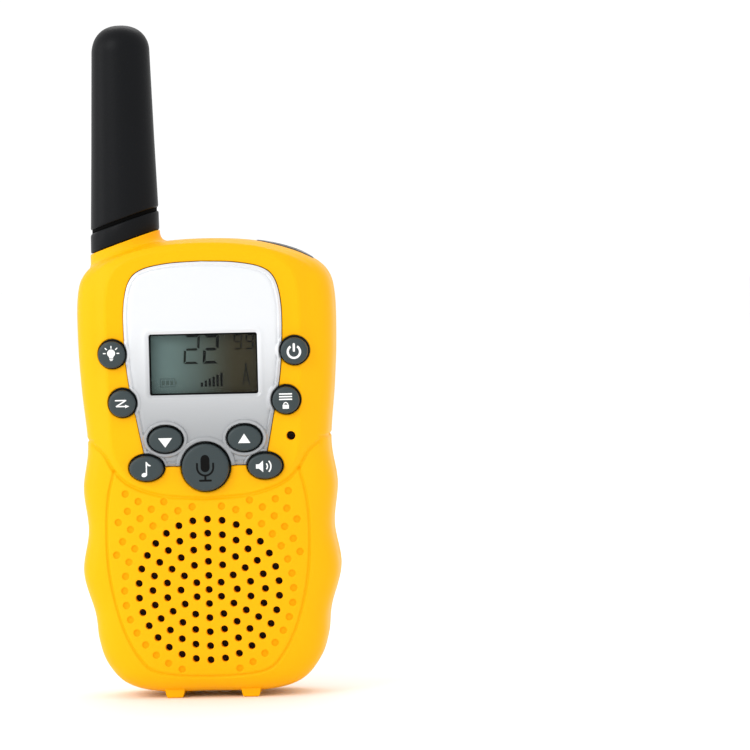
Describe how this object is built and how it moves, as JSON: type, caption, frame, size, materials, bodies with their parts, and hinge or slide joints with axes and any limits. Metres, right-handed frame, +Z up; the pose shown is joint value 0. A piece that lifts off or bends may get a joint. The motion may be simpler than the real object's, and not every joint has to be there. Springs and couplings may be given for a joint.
{
  "type": "toy walkie talkie",
  "caption": "Child's two-way radio with a stub antenna, display, push buttons, speaker grille, torch, sliding battery cover and sprung belt clip.",
  "frame": {"origin": "on the floor under the middle of the whole, between the feet", "axes": "+Z up along the antenna; -Y out of the face with the buttons; +X to the right of someone who looks at the face"},
  "size_m": [0.0552, 0.037, 0.144],
  "materials": {
    "case_yellow": "satin yellow ABS",
    "plate_silver": "silver-painted plate",
    "window_clear": "clear window",
    "lcd_glass": "display glass with polariser",
    "backlight_white": "milky diffuser",
    "strip_rubber": "contact strip",
    "button_grey": "dark slate caps with printed symbols",
    "mat_rubber": "soft rubber",
    "board_green": "green solder mask",
    "can_steel": "tinned steel",
    "chip_black": "moulded package",
    "speaker_steel": "pressed steel",
    "cone_paper": "paper cone",
    "cloth_black": "dust cloth",
    "wire_red": "insulated wire",
    "wire_black": "insulated wire",
    "antenna_rubber": "matt black",
    "former_black": "moulded former",
    "coil_copper": "copper wire",
    "torch_black": "black bezel",
    "torch_clear": "clear lens",
    "led_white": "lamp and holder",
    "cell_sleeve": "printed sleeve",
    "contact_nickel": "nickel plated",
    "clip_black": "textured black",
    "pin_steel": "bright steel",
    "screw_steel": "zinc plated"
  },
  "bodies": {
    "case": {"front_housing": "case_yellow", "rear_housing": "case_yellow", "face_plate": "plate_silver", "display_window": "window_clear", "lcd_panel": "lcd_glass", "lcd_backlight": "backlight_white", "lcd_contact_strip": "strip_rubber", "keypad_mat": "mat_rubber", "microphone_boot": "mat_rubber", "main_board": "board_green", "radio_shield": "can_steel", "crystal": "can_steel", "microphone": "can_steel", "controller_chip": "chip_black", "speaker_basket": "speaker_steel", "speaker_magnet": "speaker_steel", "speaker_cone": "cone_paper", "speaker_cloth": "cloth_black", "speaker_wire_red": "wire_red", "speaker_wire_black": "wire_black", "antenna_sleeve": "antenna_rubber", "antenna_collar": "antenna_rubber", "antenna_former": "former_black", "antenna_coil": "coil_copper", "torch_bezel": "torch_black", "torch_lens": "torch_clear", "torch_led": "led_white", "battery_cell_1": "cell_sleeve", "battery_cell_2": "cell_sleeve", "battery_cell_3": "cell_sleeve", "battery_cell_4": "cell_sleeve", "contact_spring_1": "contact_nickel", "contact_spring_2": "contact_nickel", "contact_spring_3": "contact_nickel", "contact_spring_4": "contact_nickel", "contact_plate_positive": "contact_nickel", "contact_plate_negative": "contact_nickel", "contact_bridge_left": "contact_nickel", "contact_bridge_middle": "contact_nickel", "contact_bridge_right": "contact_nickel", "clip_bracket": "clip_black", "clip_pin": "pin_steel", "clip_spring": "pin_steel", "case_screw_1": "screw_steel", "case_screw_2": "screw_steel", "case_screw_3": "screw_steel", "case_screw_4": "screw_steel", "clip_screw_1": "screw_steel", "clip_screw_2": "screw_steel"},
    "lamp_button": {"lamp_button": "button_grey"},
    "power_button": {"power_button": "button_grey"},
    "scan_button": {"scan_button": "button_grey"},
    "menu_button": {"menu_button": "button_grey"},
    "down_button": {"down_button": "button_grey"},
    "up_button": {"up_button": "button_grey"},
    "melody_button": {"melody_button": "button_grey"},
    "monitor_button": {"monitor_button": "button_grey"},
    "talk_button": {"talk_button": "button_grey"},
    "battery_cover": {"battery_cover": "case_yellow"},
    "belt_clip": {"belt_clip": "clip_black"}
  },
  "joints": [
    {"name": "lamp_press", "type": "slide", "parent": "case", "child": "lamp_button", "axis": [0, 1, 0], "range_m": [0, 0.001], "stiffness_N_per_m": 400},
    {"name": "power_press", "type": "slide", "parent": "case", "child": "power_button", "axis": [0, 1, 0], "range_m": [0, 0.001], "stiffness_N_per_m": 400},
    {"name": "scan_press", "type": "slide", "parent": "case", "child": "scan_button", "axis": [0, 1, 0], "range_m": [0, 0.001], "stiffness_N_per_m": 400},
    {"name": "menu_press", "type": "slide", "parent": "case", "child": "menu_button", "axis": [0, 1, 0], "range_m": [0, 0.001], "stiffness_N_per_m": 400},
    {"name": "down_press", "type": "slide", "parent": "case", "child": "down_button", "axis": [0, 1, 0], "range_m": [0, 0.001], "stiffness_N_per_m": 400},
    {"name": "up_press", "type": "slide", "parent": "case", "child": "up_button", "axis": [0, 1, 0], "range_m": [0, 0.001], "stiffness_N_per_m": 400},
    {"name": "melody_press", "type": "slide", "parent": "case", "child": "melody_button", "axis": [0, 1, 0], "range_m": [0, 0.001], "stiffness_N_per_m": 400},
    {"name": "monitor_press", "type": "slide", "parent": "case", "child": "monitor_button", "axis": [0, 1, 0], "range_m": [0, 0.001], "stiffness_N_per_m": 400},
    {"name": "talk_press", "type": "slide", "parent": "case", "child": "talk_button", "axis": [0, 1, 0], "range_m": [0, 0.0012], "stiffness_N_per_m": 500},
    {"name": "cover_slide", "type": "slide", "parent": "case", "child": "battery_cover", "axis": [0, 0, -1], "range_m": [0, 0.062]},
    {"name": "clip_hinge", "type": "hinge", "parent": "case", "child": "belt_clip", "pos_m": [0, 0.0129, 0.086], "axis": [1, 0, 0], "range_deg": [0, 20], "stiffness_Nm_per_rad": 0.3}
  ]
}
